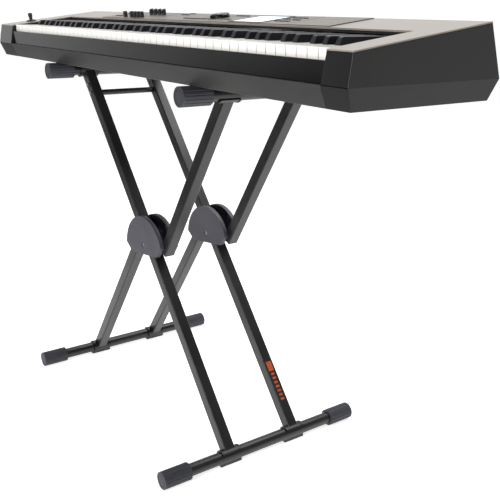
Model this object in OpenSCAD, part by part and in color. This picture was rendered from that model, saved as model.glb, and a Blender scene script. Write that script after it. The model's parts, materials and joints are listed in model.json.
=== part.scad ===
// Stage piano with 88 keys on a folding double-X stand.
// +X runs along the keyboard to the treble end, -Y faces the player, +Z is up.
// The origin is on the floor, under the middle of the whole object.

/* [Piano case] */
// Length of the case along the keyboard
case_length = 1370; // [1360:1:1400]
// Depth of the case at the parting line between trough and upper case
case_depth = 299.5; // [296:0.5:310]
// Height of the parting line above the underside
trough_height = 32; // [28:1:36]
// Height of the front upper edge above the underside
front_height = 77.5; // [76:0.5:80]
// Height of the rear upper edge above the underside
rear_height = 112.5; // [110:0.5:116]
// Depth of the bass end block, which carries the bender
bass_block_w = 91; // [88:1:100]

/* [Keys] */
// Distance from one white key to the next
key_pitch = 23.5; // [23.3:0.1:23.6]
// Gap between two neighbouring white keys
key_gap = 0.9; // [0.7:0.1:1.2]

/* [Stand] */
// Slope of the legs from the floor
leg_slope = 49.7; // [48:0.1:54]
// Distance from the cross pivot down to the foot bar's axis
lower_reach = 485.9; // [470:0.1:490]
// Distance from the cross pivot up to the arm bar's axis
upper_reach = 465.5; // [450:0.1:470]
// Distance between the front X and the rear X
frame_spacing = 162.8; // [155:0.1:175]
// Length of each foot bar over its rubber caps
foot_length = 479; // [460:1:500]
// Length of each arm bar over its rubber grips
arm_length = 360; // [340:1:370]
// Outer radius of the round bars
bar_r = 12.7; // [12:0.1:13]
// Outer radius of the rubber caps and grips
cap_r = 17.8; // [16.5:0.1:18]
// Position of the stand's middle along the keyboard
stand_x = -23; // [-40:0.5:40]

/* [Hidden] */
$fn = 48;

// Clearance between bodies that turn in each other, and between pieces that only meet
turn_gap = 0.3;
meet_gap = 0.05;

// Stand heights: the feet have a flat strip to stand on, and the piano rests on the grips
foot_z = cap_r - 0.2;
pivot_z = foot_z + lower_reach * sin(leg_slope);
arm_z = pivot_z + upper_reach * sin(leg_slope);
foot_x = lower_reach * cos(leg_slope);
arm_x = upper_reach * cos(leg_slope);

// Leg tubes: width across the X, and depth from front to rear of the long and the short legs
leg_w = 24;
leg_wall = 1.5;
leg_corner = 2.6;
through_d = 24;
split_d = 24;
// Where the middle lines of the short legs pass the pivot's level, and where the legs end
upper_start = [71, -1];
lower_start = [-47, -4];

// Saddles that hold the round bars
saddle_r = bar_r + turn_gap + 2.7;
saddle_length = 44;

// Lock covers: an arch over the pivot with chamfered lower corners, tilted with the short legs
cover_tilt = 8;
cover_r = 84;
cover_centre = -20;
cover_shoulder = 2;
cover_foot = -21.5;
cover_foot_w = 116;
cover_depth = 9.2;
cover_wall = 2.2;
cover_y = 21.5;
bolt_r = 5;

// Toothed arc of the height lock, inside the rear cover
rack_r = 51;
rack_w = 8;
rack_from = 56;
rack_to = 172;
rack_teeth = 28;
rack_y = 12.5;
rack_t = cover_y - cover_wall - meet_gap - rack_y;

cap_length = 60;
grip_length = 60;
flute_count = 16;

// Piano case outline in Y and Z
case_bottom = arm_z + cap_r + turn_gap;
part_z = case_bottom + trough_height;
front_y = -171.5;
rear_y = front_y + case_depth;
deck_front_y = front_y + 7.7;
deck_rear_y = rear_y - 24.3;
deck_front_z = case_bottom + front_height;
deck_rear_z = case_bottom + rear_height;
deck_slope = atan2(deck_rear_z - deck_front_z, deck_rear_y - deck_front_y);
trough_front_y = front_y + 12.5;
trough_rear_y = rear_y - 14.6;
deck_t = 2;
wall = 3;
case_x = case_length / 2;
end_in_top = 3.8;
end_in_bottom = 6.7;
seam = 0.8;

// Keyboard
white_count = 52;
bass_x = -case_x + bass_block_w;
keys_x = bass_x + 2;
treble_x = keys_x + white_count * key_pitch + 2;
key_front_y = front_y + 16;
key_top = case_bottom + 78.5;
white_bottom = key_top - 14;
skirt_bottom = key_top - 21;
head_length = 50;
sharp_rise = 12;
sharp_w = 11;
sharp_top_w = 9.4;
sharp_clear = 0.8;
key_pivot_y = 60;
key_rear_y = 70;
key_rod_r = 2;
rail_top = key_top - 15.5;
slot_rear_y = 0;
bed_z = case_bottom + 38.5;
// Letters of the white keys count from C = 0. A sharp follows C, D, F, G and A.
letters_with_sharp = [0, 1, 3, 4, 5];
sharp_shift = [-2.8, 2.8, 0, -3.8, 0, 3.8];

// Control panel, measured along X and along Y
panel_x0 = -410;
panel_x1 = 445;
panel_y0 = 2.5;
panel_y1 = 99;
panel_t = 1.4;
panel_rise = 0.4;
display_x = 198;
display_y = 48;
display_w = 100;
display_d = 76;
dial_x = 52;
dial_y = 51;
dial_r = 20;
knob_x = [-258, -238, -218, -198];
knob_y = 60;
knob_r = 4.3;
knob_h = 13;
volume_x = -309;
level_x = [-276, -259, -242, -225];
slider_y = 17;
slider_travel_front = 8;
slider_travel_rear = 16;
// Rows of push buttons: first X, Y, number in the row
button_rows = [
    [-46, 26, 10], [80, 32, 4], [80, 78, 4], [-132, 72, 3], [-124, 90, 2],
    [268, 32, 4], [262, 56, 2], [270, 72, 4], [298, 49, 2], [-380, 30, 3], [-380, 60, 3]
];
button_pitch = 11;
button_size = [8, 5, 4.4];
bender_x = -638;
bender_y = -98;

socket_x = [-160, -130, -90, -60, -20];
socket_z = case_bottom + 62;
socket_r = 3.25;
socket_depth = 30;
inlet_x = 420;
switch_x = 500;

function deck_z(y) = deck_front_z + (y - deck_front_y) * tan(deck_slope);
function letter(i) = (i + 5) % 7;
function has_sharp(i) = i >= 0 && i < white_count - 1
    && len(search(letter(i), letters_with_sharp)) > 0;
// X of the middle of the sharp that stands between white keys i and i + 1
function sharp_x(i) = keys_x + (i + 1) * key_pitch + sharp_shift[letter(i)];

// ---------------------------------------------------------------- helpers

// A cylinder along Y, centred on y
module rod_y(r, length) {
    rotate([90, 0, 0]) cylinder(r = r, h = length, center = true);
}

// An outline given in Y and Z, extruded along X from x0 to x1
module slab_x(x0, x1, outline) {
    translate([x0, 0, 0]) rotate([90, 0, 90]) linear_extrude(x1 - x0) polygon(outline);
}

// An outline given in X and Z, extruded along Y from y0 to y1
module slab_y(y0, y1, outline) {
    translate([0, y1, 0]) rotate([90, 0, 0]) linear_extrude(y1 - y0) polygon(outline);
}

// Puts its children on the sloping deck, with their Z along the deck's normal
module on_deck(x, y) {
    translate([x, y, deck_z(y)]) rotate([deck_slope, 0, 0]) children();
}

module box_at(size, at) {
    translate([at[0] - size[0] / 2, at[1] - size[1] / 2, at[2]]) cube(size);
}

module for_both_frames() {
    for (y = [-1, 1]) translate([stand_x, y * frame_spacing / 2, pivot_z]) children();
}

// A bar in the X-Z plane from p0 to p1, with rounded long edges
module bar_between(p0, p1, depth, width, corner) {
    run = p1 - p0;
    translate([p0[0], 0, p0[1]]) rotate([0, 90 - atan2(run[1], run[0]), 0])
        linear_extrude(norm(run)) {
            square([width - 2 * corner, depth], center = true);
            square([width, depth - 2 * corner], center = true);
            for (x = [-1, 1], y = [-1, 1])
                translate([x * (width / 2 - corner), y * (depth / 2 - corner)]) circle(r = corner);
        }
}

// A rectangular tube from p0 to p1, open at both ends
module hollow_leg(p0, p1, depth) {
    past = (p1 - p0) / norm(p1 - p0);
    difference() {
        bar_between(p0, p1, depth, leg_w, leg_corner);
        bar_between(p0 - past, p1 + past, depth - 2 * leg_wall, leg_w - 2 * leg_wall,
            leg_corner - leg_wall);
    }
}

// ---------------------------------------------------------------- stand

module foot_bar(side, length) {
    translate([stand_x + side * foot_x, 0, foot_z]) difference() {
        rod_y(bar_r, length);
        rod_y(bar_r - 1.6, length + 2);
    }
}

module arm_bar(side, length) {
    translate([stand_x + side * arm_x, 0, arm_z]) difference() {
        rod_y(bar_r, length);
        rod_y(bar_r - 1.6, length + 2);
    }
}

// A fluted rubber sleeve with a ring groove in its closed outer end, from y = 0 towards +Y
module fluted_cap(length) {
    flute_r = 1.9;
    difference() {
        rotate([-90, 0, 0]) cylinder(r = cap_r, h = length);
        translate([0, 5, 0]) rotate([-90, 0, 0]) cylinder(r = bar_r + meet_gap, h = length);
        translate([0, 0.8, 0]) rotate([90, 0, 0]) difference() {
            cylinder(r = 12.6, h = 2);
            translate([0, 0, -1]) cylinder(r = 11.6, h = 4);
        }
        for (i = [0:flute_count - 1]) rotate([0, (i + 0.5) * 360 / flute_count, 0])
            translate([0, 4, cap_r + 0.9]) rotate([-90, 0, 0])
                cylinder(r = flute_r, h = length, $fn = 24);
    }
}

// Both caps of a bar; a flat strip below lets a foot stand on the floor
module cap_pair(x, z, length, cap, flat) {
    for (end = [0, 1]) difference() {
        translate([x, 0, z]) mirror([0, end, 0]) translate([0, -length / 2, 0]) fluted_cap(cap);
        if (flat) box_at([60, length + 10, 20], [x, 0, -20]);
    }
}

module right_foot_tube() { color("#1b1b1d") foot_bar(1, foot_length - 12); }
module left_foot_tube() { color("#1b1b1d") foot_bar(-1, foot_length - 12); }
module right_arm_tube() { color("#1b1b1d") arm_bar(1, arm_length - 12); }
module left_arm_tube() { color("#1b1b1d") arm_bar(-1, arm_length - 12); }

// Pads under a foot bar, below the legs, a little clear of the floor
module foot_pads(x) {
    pad_t = 4.2;
    for (y = [-1, 1]) translate([x, y * frame_spacing / 2, foot_z]) difference() {
        box_at([15, 50, bar_r + pad_t], [0, 0, -bar_r - pad_t]);
        rod_y(bar_r + meet_gap, 60);
        box_at([40, 60, bar_r], [0, 0, -bar_r * 0.75]);
    }
}

module foot_rubber(x) {
    cap_pair(x, foot_z, foot_length, cap_length, true);
    foot_pads(x);
}

module right_foot_rubber() { color("#2a2b30") foot_rubber(stand_x + foot_x); }
module left_foot_rubber() { color("#2a2b30") foot_rubber(stand_x - foot_x); }
module right_arm_grips() {
    color("#2a2b30") cap_pair(stand_x + arm_x, arm_z, arm_length, grip_length, false);
}
module left_arm_grips() {
    color("#2a2b30") cap_pair(stand_x - arm_x, arm_z, arm_length, grip_length, false);
}

// Ends of the legs in each X, measured from the pivot
foot_dz = foot_z - pivot_z;
arm_dz = arm_z - pivot_z;
upper_end = [arm_x, arm_dz];
lower_end = [-foot_x, foot_dz];

// Cylindrical notch that lets a leg's end meet its saddle
module cope(x, z) {
    translate([x, 0, z]) rod_y(saddle_r + meet_gap, 60);
}

// Two bolts at the top of a long leg: one holds the saddle, the other the cross brace
saddle_bolt_at = 44;
brace_at = 66;
brace_bolt_r = 3;

// The long leg goes in one piece from the right foot to the left arm and turns on the bolt
module through_leg() {
    difference() {
        hollow_leg([foot_x, foot_dz], [-arm_x, arm_dz], through_d);
        cope(foot_x, foot_dz);
        cope(-arm_x, arm_dz);
        rod_y(bolt_r + 0.06, 40);
        translate([-arm_x, 0, arm_dz]) rotate([0, leg_slope, 0])
            for (d = [saddle_bolt_at, brace_at]) translate([d, 0, 0])
                rod_y(brace_bolt_r + meet_gap, 40);
    }
}

module upper_leg() {
    difference() {
        hollow_leg(upper_start, upper_end, split_d);
        cope(arm_x, arm_dz);
    }
}

module lower_leg() {
    difference() {
        hollow_leg(lower_start, lower_end, split_d);
        cope(-foot_x, foot_dz);
    }
}

module in_frame(y) {
    translate([stand_x, y * frame_spacing / 2, pivot_z]) children();
}

module front_through_leg() { color("#202022") in_frame(-1) through_leg(); }
module rear_through_leg() { color("#202022") in_frame(1) through_leg(); }
module front_upper_leg() { color("#242426") in_frame(-1) upper_leg(); }
module rear_upper_leg() { color("#242426") in_frame(1) upper_leg(); }
module front_lower_leg() { color("#242426") in_frame(-1) lower_leg(); }
module rear_lower_leg() { color("#242426") in_frame(1) lower_leg(); }

// Half-round plate on the leg's side of a bar; angle points from the bar to the leg
module saddle(x, z, angle) {
    translate([x, 0, z]) rotate([0, -angle, 0]) difference() {
        union() {
            rod_y(saddle_r, saddle_length);
            for (y = [-1, 1]) translate([0, y * (saddle_length / 2 - 1.5), 0])
                rod_y(saddle_r + 0.8, 3);
        }
        rod_y(bar_r + turn_gap, saddle_length + 2);
        translate([-39, -saddle_length, -40]) cube([40, 2 * saddle_length, 80]);
    }
}

module through_leg_saddles() {
    color("#1d1d1f") for_both_frames() {
        saddle(foot_x, foot_dz, 180 - leg_slope);
        saddle(-arm_x, arm_dz, -leg_slope);
    }
}

module split_leg_saddles() {
    upper_run = upper_end - upper_start;
    lower_run = lower_start - lower_end;
    color("#1d1d1f") for_both_frames() {
        saddle(arm_x, arm_dz, 180 + atan2(upper_run[1], upper_run[0]));
        saddle(-foot_x, foot_dz, atan2(lower_run[1], lower_run[0]));
    }
}

// Round bar between the two long legs, just under the bass arm
module cross_brace() {
    length = frame_spacing - through_d - 2 * meet_gap;
    color("#1b1b1d") translate([stand_x - arm_x, 0, arm_z]) rotate([0, leg_slope, 0])
        translate([brace_at, 0, 0]) difference() {
            rod_y(6.5, length);
            rod_y(brace_bolt_r + meet_gap, length + 2);
        }
}

// A bolt along Y whose round head is on the leg's outer face, on the side given
module leg_bolt(side, shank) {
    translate([0, -side * shank / 2, 0]) rod_y(brace_bolt_r, shank);
    translate([0, side * 1.6, 0]) rod_y(5.2, 3.1);
}

module brace_bolts() {
    reach = frame_spacing / 2 + through_d / 2;
    color("#8a8a8c") translate([stand_x - arm_x, 0, arm_z]) rotate([0, leg_slope, 0])
        for (side = [-1, 1]) {
            translate([brace_at, side * reach, 0]) leg_bolt(side, 32);
            translate([saddle_bolt_at, side * reach, 0]) leg_bolt(side, 19);
        }
}

// Outline of a lock cover in X and Z, moved inwards by an inset
module cover_outline(inset) {
    r = cover_r - inset;
    half = cover_foot_w / 2 - inset / 2;
    rotate(cover_tilt) intersection() {
        translate([0, cover_centre]) circle(r = r, $fn = 96);
        polygon([
            [-r, r], [-r, cover_shoulder], [-half, cover_foot + inset],
            [half, cover_foot + inset], [r, cover_shoulder], [r, r]
        ]);
    }
}

// A shell whose closed face is at y = 0 and whose rim goes towards +Y. A boss reaches each leg.
module cover_shell() {
    boss_r = 5.5;
    reach = cover_y - split_d / 2 - meet_gap;
    rotate([90, 0, 0]) mirror([0, 0, 1]) {
        difference() {
            linear_extrude(cover_depth) cover_outline(0);
            translate([0, 0, cover_wall]) linear_extrude(cover_depth) cover_outline(cover_wall);
        }
        for (at = [[72, 10], [-54, -14]])
            translate([at[0], at[1], cover_wall / 2]) cylinder(r = boss_r, h = reach - cover_wall / 2);
    }
}

module front_lock_cover() {
    translate([0, -cover_y, 0]) difference() {
        cover_shell();
        rod_y(bolt_r + 1.2, 20);
    }
}

module rear_lock_cover() {
    translate([0, cover_y, 0]) mirror([0, 1, 0]) difference() {
        cover_shell();
        rod_y(bolt_r + meet_gap, 20);
    }
}

module front_lock_covers() { color("#34353b") for_both_frames() front_lock_cover(); }
module rear_lock_covers() { color("#34353b") for_both_frames() rear_lock_cover(); }

// Inward teeth on an arc inside the rear cover
module lock_rack() {
    tooth_step = (rack_to - rack_from) / rack_teeth;
    translate([0, rack_y + rack_t, 0]) rotate([90, 0, 0]) linear_extrude(rack_t) difference() {
        intersection() {
            difference() {
                circle(r = rack_r + rack_w, $fn = 96);
                circle(r = rack_r, $fn = 96);
            }
            polygon([[0, 0], for (i = [0:6])
                let (a = rack_from + i * (rack_to - rack_from) / 6) 90 * [cos(a), sin(a)]]);
        }
        for (i = [0:rack_teeth]) rotate(rack_from + i * tooth_step)
            translate([rack_r, 0]) rotate(45) square(3.4, center = true);
    }
}

module lock_racks() { color("#3c3c40") for_both_frames() lock_rack(); }

// Block on the through leg's rear face that reaches up to the rack's teeth
module lock_pawl() {
    foot_r = 34;
    tip = 4;
    tip_r = rack_r - 0.8 - tip * sqrt(2) / 2;
    pawl_w = 10;
    pawl_d = rack_y + rack_t - 1 - through_d / 2;
    rotate([0, -(180 - leg_slope), 0]) translate([0, through_d / 2 + meet_gap, 0]) {
        translate([foot_r, 0, -pawl_w / 2]) cube([tip_r - foot_r, pawl_d, pawl_w]);
        translate([tip_r, pawl_d / 2, 0]) rotate([0, 45, 0]) cube([tip, pawl_d, tip], center = true);
    }
}

module lock_pawls() { color("#8a8a8c") for_both_frames() lock_pawl(); }

// Each X turns on one bolt, sunk into the front cover, with a nut behind the rear cover
module pivot_bolt() {
    front = -cover_y + 0.8;
    nut_t = 6;
    rear = cover_y + nut_t + 1;
    translate([0, (front + rear) / 2, 0]) rod_y(bolt_r, rear - front);
    translate([0, cover_y + meet_gap + nut_t / 2, 0]) rotate([90, 0, 0])
        cylinder(r = 9, h = nut_t, center = true, $fn = 6);
}

module pivot_bolts() { color("#6f7073") for_both_frames() pivot_bolt(); }

// ---------------------------------------------------------------- piano case

// Keeps only what lies inside the tapered ends of the case
module within_ends() {
    intersection() {
        children();
        slab_y(front_y - 5, rear_y + 5, [
            [-case_x + end_in_bottom, case_bottom], [-case_x, part_z],
            [-case_x + end_in_top, deck_rear_z + 6], [case_x - end_in_top, deck_rear_z + 6],
            [case_x, part_z], [case_x - end_in_bottom, case_bottom]
        ]);
    }
}

// Trough with a flange along its front edge for the rail
module bottom_case() {
    color("#3a3a3c") slab_x(bass_x + seam, treble_x - seam, [
        [trough_front_y, case_bottom], [front_y, part_z], [front_y + 13, part_z],
        [front_y + 13, part_z - wall], [front_y + 4.4, part_z - wall],
        [trough_front_y + 2, case_bottom + wall], [trough_rear_y - 2, case_bottom + wall],
        [rear_y - 4.4, part_z - wall], [rear_y - 7, part_z - wall], [rear_y - 7, part_z],
        [rear_y, part_z], [trough_rear_y, case_bottom]
    ]);
}

// Moulded end of the case, open towards the keyboard
module end_block(x0, x1, inner0, inner1) {
    difference() {
        within_ends() slab_x(x0, x1, [
            [trough_front_y, case_bottom], [front_y, part_z],
            [deck_front_y, deck_front_z - deck_t - meet_gap],
            [deck_rear_y, deck_rear_z - deck_t - meet_gap],
            [rear_y, part_z], [trough_rear_y, case_bottom]
        ]);
        translate([inner0, front_y + 20, case_bottom + 6])
            cube([inner1 - inner0, case_depth - 55, front_height - 14]);
    }
}

module bass_end_block() {
    color("#2a2a2c") difference() {
        end_block(-case_x, bass_x, -case_x + 10, bass_x - 4);
        on_deck(bender_x, bender_y) cylinder(r = 9, h = 60, center = true);
    }
}

module treble_end_block() {
    color("#2a2a2c") end_block(treble_x, case_x, treble_x + 4, case_x - 10);
}

// Painted sheet over both end blocks and the rear deck, folded down behind the keys
module top_panel() {
    slot_front = deck_front_y - 10;
    color("#a69e96") difference() {
        union() {
            within_ends() slab_x(-case_x, case_x, [
                [deck_front_y, deck_front_z], [deck_rear_y, deck_rear_z],
                [deck_rear_y, deck_rear_z - deck_t], [deck_front_y, deck_front_z - deck_t]
            ]);
            slab_x(bass_x + seam, treble_x - seam, [
                [slot_rear_y, deck_z(slot_rear_y) - deck_t], [slot_rear_y - 2, deck_z(slot_rear_y) - 3],
                [slot_rear_y - 2, deck_z(slot_rear_y - 2)], [slot_rear_y + 1, deck_z(slot_rear_y + 1)],
                [slot_rear_y + 1, deck_z(slot_rear_y) - deck_t]
            ]);
        }
        translate([bass_x, slot_front, deck_front_z - 10])
            cube([treble_x - bass_x, slot_rear_y - 2 - slot_front, 60]);
        translate([panel_x0 + 4, panel_y0 + 4, deck_front_z])
            cube([panel_x1 - panel_x0 - 8, panel_y1 - panel_y0 - 8, 60]);
        on_deck(bender_x, bender_y) cylinder(r = 9, h = 60, center = true);
    }
}

// A slot in the control panel along which a slider's stem runs
module slider_slot(x) {
    length = slider_travel_front + slider_travel_rear + 6;
    mid = slider_y + (slider_travel_rear - slider_travel_front) / 2;
    on_deck(x, mid) cube([3.4, length, 20], center = true);
}

module control_panel() {
    inset = 0.02;
    color("#6d675f") difference() {
        slab_x(panel_x0, panel_x1, [
            [panel_y0, deck_z(panel_y0) + inset], [panel_y1, deck_z(panel_y1) + inset],
            [panel_y1, deck_z(panel_y1) + panel_t], [panel_y0, deck_z(panel_y0) + panel_t]
        ]);
        on_deck(display_x, display_y) cube([display_w + 0.6, display_d + 0.6, 20], center = true);
        on_deck(dial_x, dial_y) cylinder(r = 4.4, h = 20, center = true);
        for (x = knob_x) on_deck(x, knob_y) cylinder(r = 3.4, h = 20, center = true);
        for (x = [volume_x, each level_x]) slider_slot(x);
        for_buttons() translate([0, 0, -8])
            box_at([button_size[0] + 0.6, button_size[1] + 0.6, 20], [0, 0, 0]);
    }
}

module for_buttons() {
    for (row = button_rows, i = [0:row[2] - 1])
        on_deck(row[0] + i * button_pitch, row[1]) children();
}

// Button caps stand 1.4 above the panel
module panel_buttons() {
    color("#1a1a1c") for_buttons()
        translate([0, 0, panel_t + 1.4 - button_size[2]]) box_at(button_size, [0, 0, 0]);
}

module front_rail() {
    color("#2b2b2d") slab_x(bass_x + 0.2, treble_x - 0.2, [
        [front_y + 7, part_z + meet_gap], [front_y + 7, rail_top - 1],
        [front_y + 8, rail_top], [front_y + 13, rail_top], [front_y + 13, part_z + meet_gap]
    ]);
}

module key_wall() {
    y0 = slot_rear_y + 1.2;
    y1 = y0 + 3;
    color("#141416") slab_x(bass_x + 0.4, treble_x - 0.4, [
        [y0, key_top + 14.4], [y1, key_top + 14.4],
        [y1, deck_z(y1) - deck_t - meet_gap], [y0, deck_z(y0) - deck_t - meet_gap]
    ]);
}

module felt_strip() {
    y0 = slot_rear_y + 1.2;
    color("#1d1a1b") translate([bass_x + 0.4, y0, key_top + 13.4])
        cube([treble_x - bass_x - 0.8, 3, 1]);
}

// Pressed plate under the keys with a stop rail in front and a pivot rail behind
module key_bed() {
    color("#8b8d90") translate([keys_x, 0, bed_z]) {
        translate([0, key_front_y + 2, 0]) cube([white_count * key_pitch, 250, 3]);
        translate([0, key_front_y + 8, 3]) cube([white_count * key_pitch, 16, 3]);
        translate([0, key_pivot_y - 8, 3])
            cube([white_count * key_pitch, 16, white_bottom - key_rod_r - bed_z - 3 - 0.05]);
    }
}

module key_pivot_rod() {
    color("#b8babd") translate([(bass_x + treble_x) / 2, key_pivot_y, white_bottom])
        rotate([0, 90, 0])
            cylinder(r = key_rod_r, h = treble_x - bass_x - 4, center = true);
}

// Circuit board hung under the control panel
module main_board() {
    color("#1f5a38") slab_x(panel_x0 + 30, panel_x1 - 30, [
        [12, deck_z(12) - 14], [90, deck_z(90) - 14], [90, deck_z(90) - 12.4], [12, deck_z(12) - 12.4]
    ]);
}

module display_window() {
    color("#dfe9f5") on_deck(display_x, display_y)
        box_at([display_w, display_d, 1.3], [0, 0, 0.3]);
}

// Sloping sheet that closes the back, with round holes for the sockets
module rear_panel() {
    color("#2a2a2c") difference() {
        slab_x(bass_x + seam, treble_x - seam, [
            [rear_y, part_z + meet_gap], [deck_rear_y, deck_rear_z - deck_t - meet_gap],
            [deck_rear_y - 2.2, deck_rear_z - deck_t - meet_gap - 0.3], [rear_y - 2.2, part_z + meet_gap]
        ]);
        for (x = socket_x) translate([x, rear_y, socket_z]) rod_y(6.6, 80);
        box_at([30, 80, 25], [inlet_x, rear_y, socket_z - 12.5]);
        box_at([22, 80, 16], [switch_x, rear_y, socket_z - 8]);
    }
}

socket_mouth_y = rear_y - 8;

// Quarter-inch jack sockets, each with its own blind hole
module rear_sockets() {
    color("#0f0f10") for (x = socket_x) translate([x, socket_mouth_y, socket_z]) difference() {
        union() {
            translate([0, -18, 0]) rod_y(6.4, 36);
            translate([0, -27, 0]) cube([16, 18, 14], center = true);
        }
        translate([0, -socket_depth / 2, 0]) rod_y(socket_r, socket_depth);
        translate([0, 1, 0]) rod_y(socket_r, 2);
    }
}

// Mains inlet with three blades in a recess
module power_inlet() {
    color("#0f0f10") translate([inlet_x, socket_mouth_y, socket_z]) {
        difference() {
            box_at([29, 28, 24], [0, -14, -12]);
            box_at([24, 16.01, 17], [0, -8, -8.5]);
        }
        for (x = [-7, 0, 7]) box_at([2, 9, 4], [x, -11.51, x == 0 ? 1 : -4]);
    }
}

// Rocker that tips on its own pin
module power_switch() {
    color("#0f0f10") translate([switch_x, socket_mouth_y - 8, socket_z]) {
        slab_x(-9, 9, [[-4, -5.5], [6, -6.5], [3.4, 0], [6.6, 6.5], [-4, 5.5]]);
        rotate([0, 90, 0]) cylinder(r = 1.5, h = 23, center = true);
    }
}

module for_case_corners(x, y0, y1) {
    for (sx = [-1, 1], y = [y0, y1]) translate([sx * x, y, case_bottom]) children();
}

module piano_feet() {
    color("#1c1c1e") for_case_corners(560, -96, 84)
        translate([0, 0, -4 - meet_gap]) cylinder(r = 14, h = 4);
}

module case_screws() {
    color("#5c5d60") for (x = [520, 380, 120]) for_case_corners(x, -50, 50)
        translate([0, 0, -1.8 - meet_gap]) cylinder(r = 4, h = 1.8);
}

// ---------------------------------------------------------------- controls

module bender_base() {
    color("#151517") on_deck(bender_x, bender_y) translate([0, 0, meet_gap])
        rotate_extrude() polygon([[7.4, 0], [13, 0], [12, 2.4], [8.4, 3.4], [7.4, 3.4]]);
}

// Stick that tips sideways on a pin through the ball inside its base
module bender_lever() {
    color("#1d1d20") on_deck(bender_x, bender_y) {
        sphere(r = 6);
        rod_y(1.6, 13.4);
        rotate_extrude() polygon([
            [0, 0], [4.2, 0], [4.2, 7], [5.4, 14], [5.6, 18], [4.4, 20.4], [0, 21.2]
        ]);
    }
}

module value_dial() {
    color("#111113") on_deck(dial_x, dial_y) {
        difference() {
            translate([0, 0, panel_t + panel_rise]) rotate_extrude($fn = 72) polygon([
                [0, 0], [dial_r, 0], [dial_r, 5.4], [dial_r - 2, 7.6], [dial_r - 4, 8.2], [0, 7.4]
            ]);
            translate([11, 0, panel_t + 11.8]) sphere(r = 6);
        }
        translate([0, 0, -8]) cylinder(r = 4, h = 10);
    }
}

module slider_cap(x) {
    on_deck(x, slider_y) {
        translate([0, 0, panel_t + panel_rise]) rotate([90, 0, 0])
            translate([0, 0, -4]) linear_extrude(8)
                polygon([[-3.5, 0], [3.5, 0], [3.5, 9], [2.6, 13], [-2.6, 13], [-3.5, 9]]);
        box_at([2.4, 4, 11], [0, 0, -8]);
    }
}

module volume_slider() { color("#232327") slider_cap(volume_x); }
module level_sliders() { color("#232327") for (x = level_x) slider_cap(x); }

// Round knob with a pointer rib and its shaft
module tone_knob(i) {
    color("#1a1a1d") on_deck(knob_x[i], knob_y) {
        translate([0, 0, panel_t + panel_rise]) rotate_extrude()
            polygon([
                [0, 0], [knob_r + 0.4, 0], [knob_r, 3], [knob_r - 0.5, knob_h - 0.8],
                [knob_r - 1.2, knob_h], [0, knob_h]
            ]);
        box_at([1.2, 5, knob_h - 1], [0, 3, panel_t + panel_rise + 1.5]);
        translate([0, 0, -8]) cylinder(r = 3, h = 10);
    }
}

module tone_knob_1() { tone_knob(0); }
module tone_knob_2() { tone_knob(1); }
module tone_knob_3() { tone_knob(2); }
module tone_knob_4() { tone_knob(3); }

// ---------------------------------------------------------------- keys

// Half-round notch under a key that rides on the pivot rod
module rod_notch() {
    translate([0, key_pivot_y, white_bottom]) rotate([0, 90, 0])
        cylinder(r = key_rod_r + turn_gap, h = 3 * case_length, center = true);
}

// White key i counted from the bass end, cut back beside its sharps
module white_key(i) {
    x0 = keys_x + i * key_pitch + key_gap / 2;
    x1 = x0 + key_pitch - key_gap;
    notch_y = key_front_y + head_length;
    cut = sharp_w / 2 + sharp_clear;
    difference() {
        slab_x(x0, x1, [
            [key_front_y, skirt_bottom], [key_front_y, key_top - 3.4], [key_front_y - 1, key_top - 2.8],
            [key_front_y - 1, key_top - 0.7], [key_front_y - 0.3, key_top], [key_rear_y, key_top],
            [key_rear_y, white_bottom], [key_front_y + 12, white_bottom], [key_front_y + 3, skirt_bottom]
        ]);
        if (has_sharp(i))
            translate([sharp_x(i) - cut, notch_y, skirt_bottom - 5]) cube([20, 300, 60]);
        if (has_sharp(i - 1))
            translate([sharp_x(i - 1) + cut - 20, notch_y, skirt_bottom - 5]) cube([20, 300, 60]);
        rod_notch();
    }
}

// The sharp between white keys i and i + 1, with sloping sides and front
module sharp_key(i) {
    front = key_front_y + head_length + sharp_clear;
    top = key_top + sharp_rise;
    difference() {
        intersection() {
            translate([sharp_x(i), 0, 0]) slab_y(front, key_rear_y, [
                [-sharp_w / 2, white_bottom], [-sharp_w / 2, key_top], [-sharp_top_w / 2, top - 0.6],
                [-sharp_top_w / 2 + 0.6, top], [sharp_top_w / 2 - 0.6, top], [sharp_top_w / 2, top - 0.6],
                [sharp_w / 2, key_top], [sharp_w / 2, white_bottom]
            ]);
            slab_x(-case_x, case_x, [
                [front, white_bottom], [front, key_top + 2], [front + 5, top - 1.2], [front + 7, top],
                [slot_rear_y + 3, top], [slot_rear_y + 3, key_top], [key_rear_y, key_top],
                [key_rear_y, white_bottom]
            ]);
        }
        rod_notch();
    }
}

module white_keys(note) {
    color("#f4f3ee") for (i = [0:white_count - 1]) if (letter(i) == note) white_key(i);
}

module sharp_keys(notes) {
    color("#17171a") for (i = [0:white_count - 1])
        if (has_sharp(i) && len(search(letter(i), notes)) > 0) sharp_key(i);
}

module c_keys() { white_keys(0); }
module d_keys() { white_keys(1); }
module e_keys() { white_keys(2); }
module f_keys() { white_keys(3); }
module g_keys() { white_keys(4); }
module a_keys() { white_keys(5); }
module b_keys() { white_keys(6); }
module paired_sharps() { sharp_keys([0, 1]); }
module triple_sharps() { sharp_keys([3, 4, 5]); }

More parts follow.
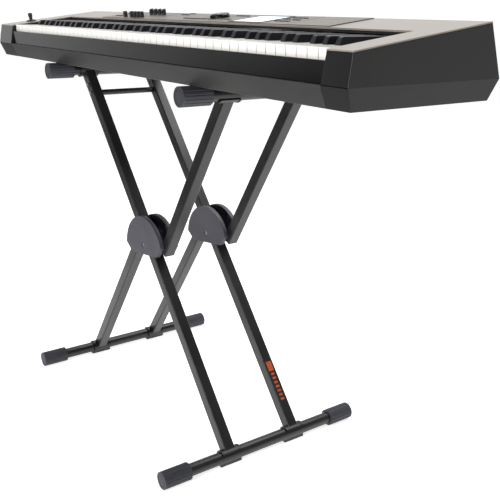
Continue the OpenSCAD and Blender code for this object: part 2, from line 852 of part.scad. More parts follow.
right_foot_tube();
right_foot_rubber();
left_foot_tube();
left_foot_rubber();
left_arm_tube();
left_arm_grips();
right_arm_tube();
right_arm_grips();
front_through_leg();
rear_through_leg();
front_upper_leg();
rear_upper_leg();
front_lower_leg();
rear_lower_leg();
through_leg_saddles();
split_leg_saddles();
cross_brace();
brace_bolts();
front_lock_covers();
rear_lock_covers();
lock_racks();
lock_pawls();
pivot_bolts();
bottom_case();
top_panel();
control_panel();
bass_end_block();
treble_end_block();
front_rail();
key_wall();
felt_strip();
key_bed();
key_pivot_rod();
main_board();
display_window();
rear_panel();
rear_sockets();
power_inlet();
power_switch();
piano_feet();
case_screws();
bender_base();
bender_lever();
panel_buttons();
value_dial();
volume_slider();
level_sliders();
tone_knob_1();
tone_knob_2();
tone_knob_3();
tone_knob_4();
c_keys();
d_keys();
e_keys();
f_keys();
g_keys();
a_keys();
b_keys();
paired_sharps();
triple_sharps();
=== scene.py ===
"""Digital piano on a folding double-X stand: finishes, small details, studio and camera."""

import json
import math

import bmesh
import bpy
from mathutils import Matrix, Vector


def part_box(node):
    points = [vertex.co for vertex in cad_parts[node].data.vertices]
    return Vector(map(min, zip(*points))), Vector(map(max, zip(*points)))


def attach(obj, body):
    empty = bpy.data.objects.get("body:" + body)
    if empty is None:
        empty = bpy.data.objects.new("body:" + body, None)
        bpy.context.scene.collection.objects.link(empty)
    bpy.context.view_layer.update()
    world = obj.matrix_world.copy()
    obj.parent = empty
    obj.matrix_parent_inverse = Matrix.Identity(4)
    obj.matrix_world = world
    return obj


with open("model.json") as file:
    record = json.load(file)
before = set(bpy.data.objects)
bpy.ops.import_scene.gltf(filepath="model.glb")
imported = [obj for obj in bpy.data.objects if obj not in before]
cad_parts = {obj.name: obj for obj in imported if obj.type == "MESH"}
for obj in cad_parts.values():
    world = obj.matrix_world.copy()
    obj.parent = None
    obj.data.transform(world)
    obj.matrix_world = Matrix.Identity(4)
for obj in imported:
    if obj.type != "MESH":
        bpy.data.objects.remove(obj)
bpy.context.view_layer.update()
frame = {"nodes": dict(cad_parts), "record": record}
NODES = frame["nodes"]

MM = 0.001
DECK_SLOPE = math.radians(7.454)
DECK_TILT = Matrix.Rotation(DECK_SLOPE, 4, "X")
LEG_SLOPE = math.radians(49.7)
# Ink and vinyl stand this far over what they are printed on
PRINT_HEIGHT = 0.12 * MM
# The control panel's film lies this far over the deck
PANEL_TOP = 1.45 * MM
KEY_PITCH = 23.5 * MM


# ---------------------------------------------------------------- node and mesh helpers


def linear(hex_code):
    """A colour for a shader socket from an sRGB hex value."""
    channels = [int(hex_code[i : i + 2], 16) / 255 for i in (1, 3, 5)]
    return [c / 12.92 if c <= 0.04045 else ((c + 0.055) / 1.055) ** 2.4 for c in channels] + [1]


def add(tree, kind, settings=None, inputs=None):
    """Adds a node, sets its properties, and links or sets its inputs by name or number."""
    node = tree.nodes.new(kind)
    for name, value in (settings or {}).items():
        setattr(node, name, value)
    for name, value in (inputs or {}).items():
        if isinstance(value, bpy.types.NodeSocket):
            tree.links.new(value, node.inputs[name])
        else:
            node.inputs[name].default_value = value
    return node


def start_material(name):
    """An empty node material with its Object coordinates."""
    material = bpy.data.materials.new(name)
    material.use_nodes = True
    material.node_tree.nodes.clear()
    coords = add(material.node_tree, "ShaderNodeTexCoord").outputs["Object"]
    return material, material.node_tree, coords


def noise(tree, coords, size_mm, detail=3.0, stretch=(1, 1, 1)):
    """Noise whose blotches are about size_mm across, longer along an axis where stretch is small."""
    place = add(tree, "ShaderNodeMapping", None, {"Vector": coords, "Scale": stretch})
    return add(
        tree,
        "ShaderNodeTexNoise",
        None,
        {"Vector": place.outputs[0], "Scale": 0.5 / (size_mm * MM), "Detail": detail},
    ).outputs["Fac"]


def surface(tree, colour, roughness, normal, values):
    """The shader and output that end a material. Plain values go on the shader's own sockets."""
    shader = add(tree, "ShaderNodeBsdfPrincipled", None, {"Base Color": colour, **values})
    tree.links.new(roughness, shader.inputs["Roughness"])
    tree.links.new(normal, shader.inputs["Normal"])
    add(tree, "ShaderNodeOutputMaterial", None, {"Surface": shader.outputs[0]})


def two_tone(tree, factor, first, second):
    """A colour that wanders between two sRGB tones."""
    return add(
        tree,
        "ShaderNodeMix",
        {"data_type": "RGBA"},
        {0: factor, 6: linear(first), 7: linear(second)},
    ).outputs[2]


def span(tree, factor, low, high, start=0.3, end=0.7):
    """Maps the middle part of a noise to a range."""
    return add(
        tree,
        "ShaderNodeMapRange",
        None,
        {0: factor, 1: start, 2: end, 3: low, 4: high},
    ).outputs[0]


def grained(name, tones, rough, patch_mm, grain_mm, depth_mm, stretch=(1, 1, 1), **values):
    """A moulded, coated or plated finish: soft patches of two tones, uneven gloss and a raised grain."""
    material, tree, coords = start_material(name)
    patches = noise(tree, coords, patch_mm, stretch=stretch)
    grain = noise(tree, coords, grain_mm, 2.0, stretch)
    bump = add(
        tree,
        "ShaderNodeBump",
        None,
        {"Strength": 0.6, "Distance": depth_mm * MM, "Height": grain},
    )
    surface(
        tree,
        two_tone(tree, span(tree, patches, 0, 1), *tones),
        span(tree, patches, *rough),
        bump.outputs[0],
        {key.replace("_", " "): value for key, value in values.items()},
    )
    return material


def islands(node):
    """Lowest and highest corners of each separate solid of a CAD node, from the bass end up."""
    mesh = bmesh.new()
    mesh.from_mesh(NODES[node].data)
    bmesh.ops.remove_doubles(mesh, verts=mesh.verts, dist=0.01 * MM)
    left = set(mesh.verts)
    found = []
    while left:
        front = [left.pop()]
        corners = []
        while front:
            vert = front.pop()
            corners.append(vert.co.copy())
            for edge in vert.link_edges:
                other = edge.other_vert(vert)
                if other in left:
                    left.remove(other)
                    front.append(other)
        low = Vector([min(c[i] for c in corners) for i in range(3)])
        high = Vector([max(c[i] for c in corners) for i in range(3)])
        found.append((low, high))
    mesh.free()
    return sorted(found, key=lambda pair: pair[0].x)


def deck_point(x, y, lift=0.0):
    """A point over the sloping deck, at x and y, lifted along Z."""
    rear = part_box("top_panel")[1]
    return Vector((x, y, rear.z - (rear.y - y) * math.tan(DECK_SLOPE) + lift))


def link_piece(name, mesh, material, body):
    """Makes a mesh a piece of the object that rides on a body."""
    piece = bpy.data.objects.new(name, mesh)
    bpy.context.scene.collection.objects.link(piece)
    if material is not None:
        mesh.materials.append(material)
    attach(piece, body)
    return piece


def outline_mesh(name, outline, height, place):
    """A flat outline in X and Y given a height along Z, with a small chamfer on its upper edge."""
    mesh = bmesh.new()
    face = mesh.faces.new([mesh.verts.new((x, y, 0)) for x, y in outline])
    face.normal_update()
    if face.normal.z < 0:
        face.normal_flip()
    grown = bmesh.ops.extrude_face_region(mesh, geom=[face])
    upper = [v for v in grown["geom"] if isinstance(v, bmesh.types.BMVert)]
    bmesh.ops.translate(mesh, verts=upper, vec=(0, 0, height))
    rim = [e for e in mesh.edges if all(v in upper for v in e.verts)]
    bmesh.ops.bevel(mesh, geom=rim, offset=height * 0.4, segments=2, affect="EDGES", profile=0.5)
    bmesh.ops.recalc_face_normals(mesh, faces=mesh.faces)
    mesh.transform(place)
    data = bpy.data.meshes.new(name)
    mesh.to_mesh(data)
    mesh.free()
    return data


def joined(name, meshes):
    """One mesh from several, which are then removed."""
    whole = bmesh.new()
    for data in meshes:
        whole.from_mesh(data)
        bpy.data.meshes.remove(data)
    result = bpy.data.meshes.new(name)
    whole.to_mesh(result)
    whole.free()
    return result


# ---------------------------------------------------------------- geometry node trees


def start_geometry(name, inputs, takes_geometry):
    """A geometry tree with named inputs, and its input and output nodes."""
    tree = bpy.data.node_groups.new(name, "GeometryNodeTree")
    if takes_geometry:
        tree.interface.new_socket("Geometry", in_out="INPUT", socket_type="NodeSocketGeometry")
    for label, kind in inputs:
        tree.interface.new_socket(label, in_out="INPUT", socket_type=kind)
    tree.interface.new_socket("Geometry", in_out="OUTPUT", socket_type="NodeSocketGeometry")
    return tree, add(tree, "NodeGroupInput").outputs


def end_geometry(tree, instances, material):
    """Realizes the instances and gives them their material."""
    real = add(tree, "GeometryNodeRealizeInstances", None, {"Geometry": instances})
    painted = add(
        tree,
        "GeometryNodeSetMaterial",
        None,
        {"Geometry": real.outputs[0], "Material": material},
    )
    add(tree, "NodeGroupOutput", None, {0: painted.outputs[0]})


def plates_on_points():
    """A small plate on every point of the mesh it is given, all of one size and tilt."""
    tree, given = start_geometry(
        "plates_on_points",
        [
            ("Size", "NodeSocketVector"),
            ("Tilt", "NodeSocketVector"),
            ("Material", "NodeSocketMaterial"),
        ],
        True,
    )
    plate = add(tree, "GeometryNodeMeshCube", None, {"Size": given["Size"]})
    placed = add(
        tree,
        "GeometryNodeInstanceOnPoints",
        None,
        {"Points": given["Geometry"], "Instance": plate.outputs[0]},
    )
    turned = add(
        tree,
        "GeometryNodeRotateInstances",
        None,
        {"Instances": placed.outputs[0], "Rotation": given["Tilt"]},
    )
    end_geometry(tree, turned.outputs[0], given["Material"])
    return tree


def ring_of_ribs():
    """Ribs that stand round a circle, each with its depth pointing outwards."""
    tree, given = start_geometry(
        "ring_of_ribs",
        [
            ("Count", "NodeSocketInt"),
            ("Radius", "NodeSocketFloat"),
            ("Rib", "NodeSocketVector"),
            ("Material", "NodeSocketMaterial"),
        ],
        False,
    )
    circle = add(
        tree,
        "GeometryNodeMeshCircle",
        None,
        {"Vertices": given["Count"], "Radius": given["Radius"]},
    )
    outward = add(tree, "GeometryNodeInputPosition")
    facing = add(
        tree,
        "FunctionNodeAlignRotationToVector",
        {"axis": "X"},
        {"Vector": outward.outputs[0]},
    )
    rib = add(tree, "GeometryNodeMeshCube", None, {"Size": given["Rib"]})
    placed = add(
        tree,
        "GeometryNodeInstanceOnPoints",
        None,
        {
            "Points": circle.outputs[0],
            "Instance": rib.outputs[0],
            "Rotation": facing.outputs[0],
        },
    )
    end_geometry(tree, placed.outputs[0], given["Material"])
    return tree


def grow(name, tree, values, points=()):
    """Runs a geometry tree over some points and returns its result as a plain mesh."""
    seed = bpy.data.meshes.new(name + "_points")
    seed.from_pydata(list(points), [], [])
    carrier = bpy.data.objects.new(name + "_carrier", seed)
    bpy.context.scene.collection.objects.link(carrier)
    modifier = carrier.modifiers.new("grow", "NODES")
    modifier.node_group = tree
    for item in tree.interface.items_tree:
        if item.in_out == "INPUT" and item.name in values:
            modifier[item.identifier] = values[item.name]
    bpy.context.view_layer.update()
    shown = carrier.evaluated_get(bpy.context.evaluated_depsgraph_get())
    mesh = bpy.data.meshes.new_from_object(shown)
    mesh.name = name
    carrier.modifiers.remove(modifier)
    bpy.data.objects.remove(carrier)
    bpy.data.meshes.remove(seed)
    return mesh


# ---------------------------------------------------------------- finishes


def powder_coat():
    # Black polyester powder baked on steel: semi-gloss, with a fine orange peel drawn 2 mm wide to show.
    return grained(
        "powder_coated_steel", ("#161515", "#1e1c1c"), (0.30, 0.40), 60, 2.0, 0.05, IOR=1.52
    )


def moulded_case():
    # The lower case: black ABS with a fine spark grain, which looks dark grey in the light.
    return grained(
        "moulded_abs_case", ("#2a2929", "#323130"), (0.36, 0.46), 90, 1.2, 0.03, IOR=1.50
    )


def moulded_rail():
    # The rail before the keys: black ABS from a polished mould, nearly black head on.
    return grained(
        "polished_abs_rail", ("#050505", "#090908"), (0.16, 0.22), 90, 1.2, 0.02, Specular_IOR_Level=0.2
    )


def case_ends():
    """The end blocks: smooth on the front, sparked grain on the outer sides and the lower slant."""
    # Black ABS. The sides keep the mould's spark texture, so they look greyer than the front.
    material, tree, coords = start_material("moulded_abs_ends")
    facing = add(tree, "ShaderNodeNewGeometry").outputs["Normal"]
    turned = add(tree, "ShaderNodeSeparateXYZ", None, {0: facing})
    sideways = add(tree, "ShaderNodeMath", {"operation": "ABSOLUTE"}, {0: turned.outputs[0]})
    downwards = add(tree, "ShaderNodeMath", {"operation": "MULTIPLY"}, {0: turned.outputs[2], 1: -2})
    grainy = add(
        tree,
        "ShaderNodeMath",
        {"operation": "MAXIMUM"},
        {0: sideways.outputs[0], 1: downwards.outputs[0]},
    )
    side = add(
        tree,
        "ShaderNodeMapRange",
        None,
        {0: grainy.outputs[0], 1: 0.55, 2: 0.85},
    ).outputs[0]
    patches = noise(tree, coords, 70)
    smooth = two_tone(tree, patches, "#060608", "#0a0a0c")
    sparked = two_tone(tree, patches, "#202020", "#272726")
    colour = add(
        tree, "ShaderNodeMix", {"data_type": "RGBA"}, {0: side, 6: smooth, 7: sparked}
    ).outputs[2]
    rough = add(tree, "ShaderNodeMix", None, {0: side, 2: 0.18, 3: 0.52}).outputs[0]
    bump = add(
        tree,
        "ShaderNodeBump",
        None,
        {"Strength": 0.5, "Distance": 0.06 * MM, "Height": noise(tree, coords, 1.4, 2.0)},
    )
    surface(tree, colour, rough, bump.outputs[0], {"Specular IOR Level": 0.3})
    return material


def champagne_lacquer():
    # Satin metallic lacquer on steel sheet: warm grey, with flakes drawn 1 mm wide to show.
    return grained(
        "champagne_lacquer",
        ("#8f867c", "#998f86"),
        (0.30, 0.38),
        40,
        1.0,
        0.02,
        Metallic=0.35,
        Coat_Weight=0.25,
        Coat_Roughness=0.2,
    )


def printed_film():
    # Polycarbonate control film printed a darker champagne, matt as such films are.
    return grained(
        "printed_control_film", ("#665e55", "#6e665c"), (0.34, 0.44), 30, 0.9, 0.015, IOR=1.58
    )


def cover_nylon():
    # Glass-filled nylon covers: blue-grey, dull, with a mould grain about 1.5 mm wide.
    return grained(
        "glass_filled_nylon", ("#3a3a42", "#45454e"), (0.42, 0.54), 18, 1.5, 0.08, IOR=1.53
    )


def bar_rubber():
    # Moulded thermoplastic rubber on the bars' ends: dark blue-grey with dusty high spots.
    return grained(
        "thermoplastic_rubber", ("#2c2d33", "#383941"), (0.48, 0.66), 12, 1.3, 0.08, IOR=1.50
    )


def zinc_plate():
    # Bright zinc plate on bolts: a cool metal with small cloudy patches.
    return grained(
        "zinc_plated_steel", ("#8d8f92", "#a7a9ac"), (0.28, 0.42), 4, 0.6, 0.02, Metallic=1.0
    )


def drawn_steel():
    # Cold-drawn steel rod, with scratches that run along the keyboard.
    return grained(
        "drawn_steel_rod",
        ("#9c9da0", "#b6b7b9"),
        (0.22, 0.34),
        6,
        0.8,
        0.01,
        stretch=(0.05, 1, 1),
        Metallic=1.0,
    )


def sheet_aluminium():
    # Bare pressed aluminium, brushed along its length.
    return grained(
        "brushed_aluminium_sheet",
        ("#a9abad", "#bbbdbf"),
        (0.30, 0.42),
        8,
        0.7,
        0.015,
        stretch=(0.04, 1, 1),
        Metallic=1.0,
    )


def key_acrylic():
    """White keys, with painted shade: a warm darker tone along both sides of each key, where it dips
    into its gap.
    """
    # White acrylic, polished: a faint milky unevenness, and waves drawn 25 mm long in its gloss.
    material, tree, coords = start_material("white_key_acrylic")
    first_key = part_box("a_keys")[0].x
    along = add(tree, "ShaderNodeSeparateXYZ", None, {0: coords}).outputs[0]
    from_first = add(
        tree, "ShaderNodeMath", {"operation": "SUBTRACT"}, {0: along, 1: first_key}
    ).outputs[0]
    to_gap = add(
        tree, "ShaderNodeMath", {"operation": "PINGPONG"}, {0: from_first, 1: KEY_PITCH / 2}
    ).outputs[0]
    # Painted shade: the colour turns a darker warm grey within about a millimetre of each gap between
    # keys
    clear = span(tree, to_gap, 0, 1, 0.4 * MM, 1.3 * MM)
    milky = two_tone(tree, noise(tree, coords, 22), "#f0ede7", "#f6f4ef")
    colour = add(
        tree,
        "ShaderNodeMix",
        {"data_type": "RGBA"},
        {0: clear, 6: linear("#c0b6aa"), 7: milky},
    ).outputs[2]
    waves = noise(tree, coords, 25)
    bump = add(
        tree, "ShaderNodeBump", None, {"Strength": 0.3, "Distance": 0.01 * MM, "Height": waves}
    )
    surface(tree, colour, span(tree, waves, 0.16, 0.24), bump.outputs[0], {"IOR": 1.49})
    return material


def sharp_resin():
    # Black phenolic-like sharps, lightly brushed along the key so that they catch a blue-grey sheen.
    return grained(
        "black_key_resin",
        ("#15161b", "#1e1f26"),
        (0.26, 0.38),
        9,
        0.7,
        0.03,
        stretch=(1, 0.12, 1),
        IOR=1.40,
    )


def soft_control():
    # Soft-touch rubber coating on knobs, sliders and the stick.
    return grained(
        "soft_touch_control", ("#26272c", "#313238"), (0.40, 0.55), 5, 0.8, 0.03, IOR=1.50
    )


def gloss_dial():
    # Gloss black ABS dial, polished in the mould.
    return grained(
        "gloss_black_abs", ("#0c0c0d", "#121213"), (0.12, 0.18), 15, 3.0, 0.01, IOR=1.53
    )


def matt_wall_with_painted_shade():
    # The dark strip behind the keys: dull moulded ABS with a grain drawn 1 mm wide. Its black is real,
    # but its tones are darker than the case's ABS as painted shade, for the shade behind the keys.
    return grained(
        "textured_black_wall", ("#080807", "#0c0b0a"), (0.50, 0.62), 25, 1.0, 0.10, IOR=1.48
    )


def black_felt():
    # Pressed wool felt: fuzzy, no gloss, fibres drawn 1 mm long.
    return grained(
        "pressed_wool_felt",
        ("#100e0f", "#191617"),
        (0.85, 0.95),
        5,
        1.0,
        0.20,
        Sheen_Weight=0.2,
    )


def solder_mask():
    # Fibreglass board under green solder mask, with a fine weave showing through.
    material, tree, coords = start_material("green_solder_mask")
    weave = add(
        tree,
        "ShaderNodeTexBrick",
        {"offset": 0.5},
        {
            "Vector": coords,
            "Color1": linear("#14452a"),
            "Color2": linear("#1b5533"),
            "Mortar": linear("#0e331f"),
            "Scale": 60.0,
        },
    )
    bump = add(
        tree, "ShaderNodeBump", None, {"Distance": 0.02 * MM, "Height": weave.outputs["Fac"]}
    )
    rough = span(tree, noise(tree, coords, 6), 0.25, 0.35)
    surface(tree, weave.outputs["Color"], rough, bump.outputs[0], {"IOR": 1.5})
    return material


def textured_steel_back():
    # Black fine-texture powder on the rear sheet, coarser than the stand's coat.
    return grained(
        "textured_powder_sheet", ("#191919", "#232323"), (0.48, 0.60), 40, 1.6, 0.12, IOR=1.52
    )


def socket_nylon():
    # Black nylon of the sockets, the inlet and the rocker.
    return grained(
        "black_nylon_socket", ("#101011", "#181819"), (0.35, 0.48), 8, 0.8, 0.03, IOR=1.53
    )


def lit_display():
    """A lit liquid-crystal display behind glass, with faint pixel rows."""
    # Cool white backlight. Rows are drawn 2 mm apart so that they can show.
    material, tree, coords = start_material("lit_display_glass")
    rows = add(
        tree,
        "ShaderNodeTexWave",
        {"bands_direction": "Y"},
        {"Vector": coords, "Scale": 1 / (2 * MM) / (2 * math.pi) * 2, "Distortion": 0.0},
    )
    tone = two_tone(tree, rows.outputs["Fac"], "#dbe6fb", "#eaf1ff")
    shader = add(
        tree,
        "ShaderNodeBsdfPrincipled",
        None,
        {
            "Base Color": tone,
            "Emission Color": tone,
            "Emission Strength": 0.62,
            "Roughness": 0.1,
            "IOR": 1.52,
        },
    )
    add(tree, "ShaderNodeOutputMaterial", None, {"Surface": shader.outputs[0]})
    return material


def screen_ink(name, first, second):
    # Screen-printed ink or cut vinyl: flat colour, slightly mottled.
    return grained(name, (first, second), (0.4, 0.5), 6, 1.0, 0.01)


FINISHES = {
    "steel": powder_coat(),
    "case": moulded_case(),
    "rail": moulded_rail(),
    "ends": case_ends(),
    "lacquer": champagne_lacquer(),
    "film": printed_film(),
    "nylon": cover_nylon(),
    "rubber": bar_rubber(),
    "zinc": zinc_plate(),
    "rod": drawn_steel(),
    "aluminium": sheet_aluminium(),
    "white_key": key_acrylic(),
    "sharp": sharp_resin(),
    "control": soft_control(),
    "dial": gloss_dial(),
    "wall": matt_wall_with_painted_shade(),
    "felt": black_felt(),
    "board": solder_mask(),
    "back": textured_steel_back(),
    "socket": socket_nylon(),
    "display": lit_display(),
    "pale_ink": screen_ink("pale_screen_ink", "#b9b6b0", "#c6c3bd"),
    "dark_ink": screen_ink("dark_screen_ink", "#2c2a28", "#383532"),
    "teal": screen_ink("teal_edge_ink", "#5f8f98", "#79a9b1"),
    "orange": screen_ink("orange_vinyl", "#a8461a", "#c2551f"),
}

BY_SLOT = {
    "stand_black": "steel",
    "rubber": "rubber",
    "cover_plastic": "nylon",
    "zinc_steel": "zinc",
    "case_black": "case",
    "end_black": "ends",
    "rear_steel": "back",
    "champagne_paint": "lacquer",
    "panel_film": "film",
    "wall_black": "wall",
    "felt": "felt",
    "bed_aluminium": "aluminium",
    "board_green": "board",
    "display_glass": "display",
    "socket_black": "socket",
    "control_black": "control",
    "dial_black": "dial",
    "key_white": "white_key",
    "key_black": "sharp",
}

# Rounding of the CAD nodes' edges in mm, where the moulded or pressed piece has a soft edge
EDGE_MM = {
    "bass_end_block": 1.0,
    "treble_end_block": 1.0,
    "bottom_case": 0.8,
    "front_rail": 0.8,
    "top_panel": 0.5,
    "control_panel": 0.3,
    "front_lock_covers": 0.9,
    "rear_lock_covers": 0.9,
    "panel_buttons": 0.5,
    "volume_slider": 0.5,
    "level_sliders": 0.5,
    "cross_brace": 1.2,
    "power_switch": 0.6,
    "rear_panel": 0.6,
    "c_keys": 0.4,
    "d_keys": 0.4,
    "e_keys": 0.4,
    "f_keys": 0.4,
    "g_keys": 0.4,
    "a_keys": 0.4,
    "b_keys": 0.4,
    "paired_sharps": 0.8,
    "triple_sharps": 0.8,
}


def round_edges(node, width_mm):
    """Welds the node's triangles, merges flat ones and rounds its sharp edges, all as modifiers."""
    piece = NODES[node]
    weld = piece.modifiers.new("weld", "WELD")
    weld.merge_threshold = 0.005 * MM
    flatten = piece.modifiers.new("flatten", "DECIMATE")
    flatten.decimate_type = "DISSOLVE"
    flatten.angle_limit = math.radians(0.5)
    bevel = piece.modifiers.new("round", "BEVEL")
    bevel.width = width_mm * MM
    bevel.segments = 3
    bevel.limit_method = "ANGLE"
    bevel.angle_limit = math.radians(25)
    bevel.harden_normals = True


def paint_cad_nodes():
    """Gives every CAD node its finish by its slot in the record, and rounds what has soft edges."""
    slots = {row["node"]: row["material_slot"] for row in frame["record"]["subparts"]}
    own = {"key_pivot_rod": "rod", "lock_racks": "socket", "front_rail": "rail"}
    for node, piece in NODES.items():
        finish = own.get(node) or BY_SLOT[slots[node]]
        piece.data.materials.clear()
        piece.data.materials.append(FINISHES[finish])
    for node, width_mm in EDGE_MM.items():
        round_edges(node, width_mm)


# ---------------------------------------------------------------- small pieces


def oblong(x, y, width, depth, height):
    """A thin plate on the deck, centred at x and y, in millimetres."""
    half_w, half_d = width / 2 * MM, depth / 2 * MM
    corners = [(-half_w, -half_d), (half_w, -half_d), (half_w, half_d), (-half_w, half_d)]
    place = Matrix.Translation(deck_point(x * MM, y * MM, PANEL_TOP)) @ DECK_TILT
    return outline_mesh("plate", corners, height, place)


def panel_print():
    """Dark group lines printed on the control film, and pale status bars. No lettering."""
    line_w = 0.8
    mid_y = 50
    dark = [
        oblong(-297, 45, 88, line_w, PRINT_HEIGHT),
        oblong(-170, 60, line_w, 70, PRINT_HEIGHT),
    ] + [oblong(x, mid_y, line_w, 84, PRINT_HEIGHT) for x in (4, 74, 330)]
    lines = joined("panel_lines", dark)
    link_piece("panel_lines", lines, FINISHES["dark_ink"], "piano")
    first_x, pitch, count = 365, 14, 5
    pale = [oblong(first_x + pitch * i, mid_y, 8, 1.6, PRINT_HEIGHT) for i in range(count)]
    bars = joined("status_bars", pale)
    link_piece("status_bars", bars, FINISHES["pale_ink"], "piano")


def display_frame():
    """A raised black bezel round the display."""
    low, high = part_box("display_window")
    x, y = (low.x + high.x) / 2 / MM, (low.y + high.y) / 2 / MM
    width, depth = (high.x - low.x) / MM, (high.y - low.y) / MM
    rim = 3.0
    height = 1.0 * MM
    bars = [
        oblong(x, y + side * (depth + rim) / 2, width + 2 * rim, rim, height) for side in (-1, 1)
    ] + [oblong(x + side * (width + rim) / 2, y, rim, depth, height) for side in (-1, 1)]
    bezel = joined("display_bezel", bars)
    link_piece("display_bezel", bezel, FINISHES["dial"], "piano")


def slider_scales(tree):
    """Printed marks beside each slider's slot."""
    step = 3.0 * MM
    aside = 5.6 * MM
    marks = []
    for node in ("volume_slider", "level_sliders"):
        for low, high in islands(node):
            x, y = (low.x + high.x) / 2, (low.y + high.y) / 2
            for i in range(-2, 6):
                marks.append(deck_point(x + aside, y + i * step, PANEL_TOP + 0.05 * MM))
    mesh = grow(
        "slider_scales",
        tree,
        {
            "Size": (3.0 * MM, 0.5 * MM, 0.1 * MM),
            "Tilt": (DECK_SLOPE, 0, 0),
            "Material": FINISHES["pale_ink"],
        },
        marks,
    )
    link_piece("slider_scales", mesh, None, "piano")


def button_lamps(tree):
    """A small pale lens in the rear edge of every button, which goes down with it."""
    lenses = [
        Vector(((low.x + high.x) / 2, high.y - 1.5 * MM, high.z - 0.15 * MM))
        for low, high in islands("panel_buttons")
    ]
    mesh = grow(
        "button_lamps",
        tree,
        {
            "Size": (4.0 * MM, 0.9 * MM, 0.4 * MM),
            "Tilt": (DECK_SLOPE, 0, 0),
            "Material": FINISHES["pale_ink"],
        },
        lenses,
    )
    link_piece("button_lamps", mesh, None, "panel_buttons")


def knurl(tree, node, count, radius, rib, low, finish):
    """Ribs round a knob or dial, standing low above the panel, on the same body."""
    corner_low, corner_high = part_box(node)
    x, y = (corner_low.x + corner_high.x) / 2, (corner_low.y + corner_high.y) / 2
    mesh = grow(
        node + "_ribs",
        tree,
        {"Count": count, "Radius": radius * MM, "Rib": [v * MM for v in rib], "Material": finish},
    )
    up = DECK_TILT @ Matrix.Translation((0, 0, low * MM + rib[2] * MM / 2))
    mesh.transform(Matrix.Translation(deck_point(x, y)) @ up)
    link_piece(node + "_ribs", mesh, None, node)


def maker_mark():
    """A plain orange block and bars on the rear through leg's side, in place of any lettering."""
    low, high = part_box("rear_through_leg")
    along = Vector((-math.cos(LEG_SLOPE), 0, math.sin(LEG_SLOPE)))
    across = Vector((0, -1, 0))
    outward = along.cross(across)
    foot_low, foot_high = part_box("right_foot_tube")
    foot_x = (foot_low.x + foot_high.x) / 2
    foot_z = (foot_low.z + foot_high.z) / 2
    foot = Vector((foot_x, (low.y + high.y) / 2, foot_z))
    turn = Matrix((along, across, outward)).transposed().to_4x4()
    # Each mark's distance from the foot bar's axis, its length along the leg and its width, in mm
    block = (146, 22, 13)
    marks = [block] + [(128 - 9.5 * i, 5.2, 9) for i in range(7)]
    half_leg = 12.0 * MM
    meshes = []
    for reach, length, width in marks:
        half_l, half_w = length / 2 * MM, width / 2 * MM
        corners = [(-half_l, -half_w), (half_l, -half_w), (half_l, half_w), (-half_l, half_w)]
        centre = foot + along * (reach * MM) + outward * half_leg
        meshes.append(outline_mesh("bar", corners, 0.1 * MM, Matrix.Translation(centre) @ turn))
    mesh = joined("leg_mark", meshes)
    link_piece("leg_mark", mesh, FINISHES["orange"], "through_frame")


def rear_edge_line():
    """A thin teal line along the rear edge of the control film."""
    mesh = oblong(322, 101.2, 246, 2.2, 0.5 * MM)
    mesh.transform(Matrix.Translation((0, 0, -PANEL_TOP + 0.02 * MM)))
    link_piece("rear_edge_line", mesh, FINISHES["teal"], "piano")


# ---------------------------------------------------------------- studio


FLOOR_RADIUS = 30.0
BACKDROP_TOWARDS = Vector((-0.75, 0.66, 0.0)).normalized()


def studio_floor():
    """A plain pale floor, which also glows a little so that it stays even."""
    material, tree, coords = start_material("pale_floor")
    shade = two_tone(tree, noise(tree, coords, 400), "#f0f0f0", "#f4f4f4")
    shader = add(
        tree,
        "ShaderNodeBsdfPrincipled",
        None,
        {
            "Base Color": shade,
            "Roughness": 0.9,
            "Specular IOR Level": 0.1,
            "Emission Color": (1, 1, 1, 1),
            "Emission Strength": 0.72,
        },
    )
    add(tree, "ShaderNodeOutputMaterial", None, {"Surface": shader.outputs[0]})
    bpy.ops.mesh.primitive_circle_add(vertices=64, radius=FLOOR_RADIUS, fill_type="NGON")
    floor = bpy.context.active_object
    floor.name = "studio_floor"
    floor.location.z = -0.2 * MM
    floor.data.materials.append(material)


def studio_air():
    """Bright backdrop on the far side, dim room behind the camera and overhead."""
    world = bpy.data.worlds.new("studio_air")
    bpy.context.scene.world = world
    world.use_nodes = True
    tree = world.node_tree
    tree.nodes.clear()
    direction = add(tree, "ShaderNodeTexCoord").outputs["Generated"]
    towards = add(
        tree,
        "ShaderNodeVectorMath",
        {"operation": "DOT_PRODUCT"},
        {0: direction, 1: BACKDROP_TOWARDS},
    ).outputs["Value"]
    backdrop = span(tree, towards, 0.16, 1.05, -0.35, 0.45)
    height = add(tree, "ShaderNodeSeparateXYZ", None, {0: direction}).outputs[2]
    falloff = span(tree, height, 1.0, 0.35, 0.15, 0.8)
    lighting = add(
        tree, "ShaderNodeMath", {"operation": "MULTIPLY"}, {0: backdrop, 1: falloff}
    ).outputs[0]
    seen = add(tree, "ShaderNodeLightPath").outputs["Is Camera Ray"]
    strength = add(tree, "ShaderNodeMix", None, {0: seen, 2: lighting, 3: 1.05}).outputs[0]
    glow = add(tree, "ShaderNodeBackground", None, {"Color": (1, 1, 1, 1), "Strength": strength})
    add(tree, "ShaderNodeOutputWorld", None, {"Surface": glow.outputs[0]})


def softbox(name, place, aim, size, power):
    """A large soft light at a place, aimed at a point."""
    light = bpy.data.lights.new(name, "AREA")
    light.shape = "RECTANGLE"
    light.size, light.size_y = size
    light.energy = power
    lamp = bpy.data.objects.new(name, light)
    lamp.location = place
    lamp.rotation_euler = (Vector(aim) - Vector(place)).to_track_quat("-Z", "Y").to_euler()
    bpy.context.scene.collection.objects.link(lamp)


def studio_lights():
    softbox("overhead_softbox", (-0.4, 0.9, 3.2), (0, 0, 0.8), (3.0, 2.0), 82)
    softbox("front_softbox", (1.2, -3.2, 1.6), (0, 0, 0.7), (1.6, 1.2), 80)


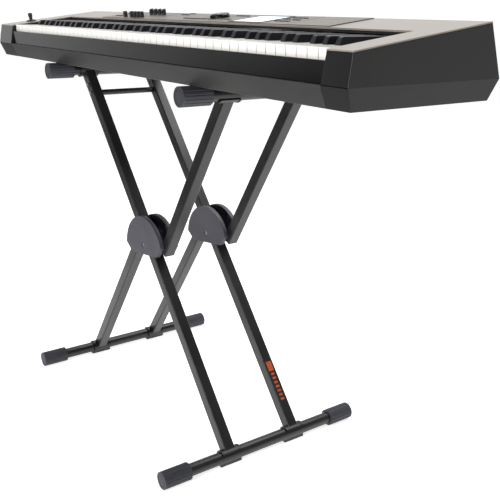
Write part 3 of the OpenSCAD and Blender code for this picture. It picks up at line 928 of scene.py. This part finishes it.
def floor_flag():
    """A black card on the floor that only reflections see, so that the glossy front stays dark."""
    material, tree, coords = start_material("floor_flag_cloth")
    surface(
        tree,
        two_tone(tree, noise(tree, coords, 300), "#050505", "#090909"),
        span(tree, noise(tree, coords, 50), 0.9, 1.0),
        add(tree, "ShaderNodeNewGeometry").outputs["Normal"],
        {"Specular IOR Level": 0.0},
    )
    bpy.ops.mesh.primitive_plane_add(size=1.0, location=(-2.0, -3.6, 2 * MM))
    card = bpy.context.active_object
    card.name = "floor_flag"
    card.scale = (9.0, 6.0, 1)
    card.data.materials.append(material)
    card.visible_camera = False
    card.visible_diffuse = False
    card.visible_shadow = False
    card.visible_transmission = False


# The camera stands to the treble side of the player and looks a little down
CAMERA_PLACE = Vector((1.3842, -0.8175, 0.8875))
CAMERA_YAW = 2.52380
CAMERA_PITCH = -0.31328
CAMERA_ROLL = 0.01278
LENS_MM = 53.55
SHIFT = (0.0031, -0.0021)


def studio_camera():
    forward = Vector(
        (
            math.cos(CAMERA_PITCH) * math.cos(CAMERA_YAW),
            math.cos(CAMERA_PITCH) * math.sin(CAMERA_YAW),
            math.sin(CAMERA_PITCH),
        )
    )
    level = forward.cross(Vector((0, 0, 1))).normalized()
    upright = level.cross(forward)
    right = math.cos(CAMERA_ROLL) * level + math.sin(CAMERA_ROLL) * upright
    up = math.cos(CAMERA_ROLL) * upright - math.sin(CAMERA_ROLL) * level
    data = bpy.data.cameras.new("studio_camera")
    data.sensor_width = 36.0
    data.lens = LENS_MM
    data.shift_x, data.shift_y = SHIFT
    data.clip_start, data.clip_end = 0.05, 100.0
    camera = bpy.data.objects.new("studio_camera", data)
    turn = Matrix((right, up, -forward)).transposed().to_4x4()
    camera.matrix_world = Matrix.Translation(CAMERA_PLACE) @ turn
    bpy.context.scene.collection.objects.link(camera)
    bpy.context.scene.camera = camera


def build():
    paint_cad_nodes()
    plates = plates_on_points()
    ribs = ring_of_ribs()
    panel_print()
    display_frame()
    slider_scales(plates)
    button_lamps(plates)
    knurl(ribs, "value_dial", 60, 20.0, (0.8, 0.9, 3.6), 2.3, FINISHES["dial"])
    for i in range(1, 5):
        knob = f"tone_knob_{i}"
        knurl(ribs, knob, 18, 4.2, (0.7, 0.7, 7.5), 4.6, FINISHES["control"])
    maker_mark()
    rear_edge_line()
    studio_floor()
    studio_air()
    studio_lights()
    floor_flag()
    studio_camera()
    bpy.context.scene.view_settings.view_transform = "Standard"


build()
